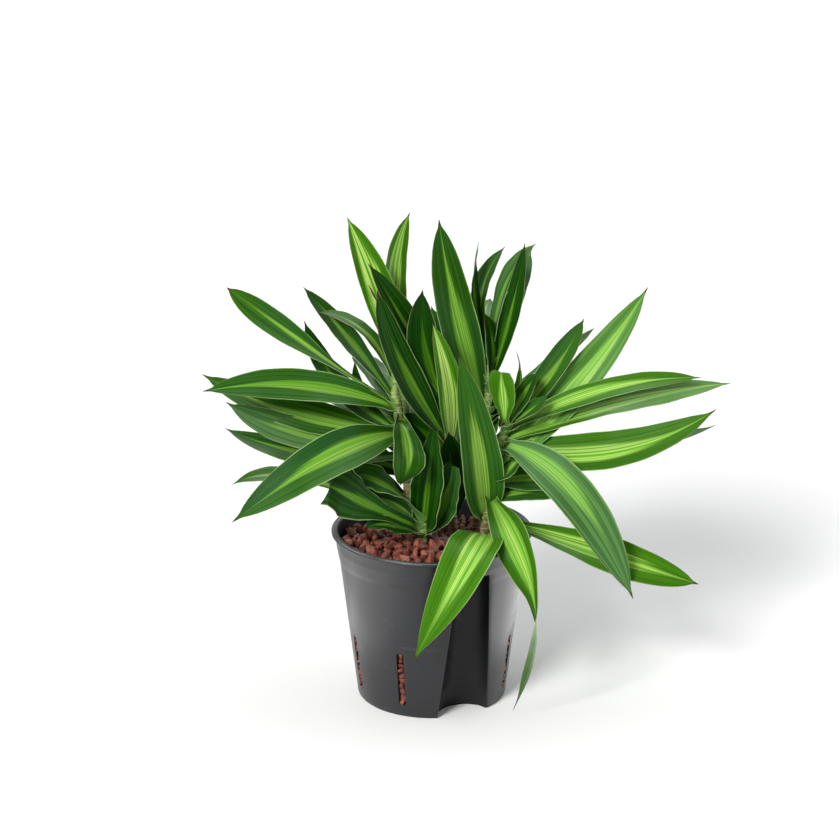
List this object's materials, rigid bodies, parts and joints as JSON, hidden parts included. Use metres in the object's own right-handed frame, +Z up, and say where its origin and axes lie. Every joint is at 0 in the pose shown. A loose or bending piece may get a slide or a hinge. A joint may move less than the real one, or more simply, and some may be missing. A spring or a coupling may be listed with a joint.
{
  "type": "potted song of jamaica dracaena",
  "caption": "Bushy foliage plant with long green leaves striped lime down the middle, on slim canes in clay granules in a round dark culture pot with a recessed groove.",
  "frame": {"origin": "middle of the pot's flat base, on the surface it rests on", "axes": "+Z up along the pot's axis, -Y the front of the plant, +X to its right as seen from the front"},
  "size_m": [0.5731, 0.3607, 0.5281],
  "materials": {
    "pot": "satin moulded",
    "granules": "porous fired clay",
    "left_leaves": "waxy leaf",
    "low_leaves": "waxy leaf",
    "right_leaves": "waxy leaf",
    "centre_leaves": "waxy leaf",
    "back_right_leaves": "waxy leaf",
    "back_left_leaves": "waxy leaf"
  },
  "bodies": {
    "root": {"culture_pot": "pot", "granules": "granules", "left_stem": "left_leaves", "low_shoot": "low_leaves", "right_stem": "right_leaves", "centre_stem": "centre_leaves", "back_right_stem": "back_right_leaves", "back_left_stem": "back_left_leaves"}
  },
  "joints": []
}
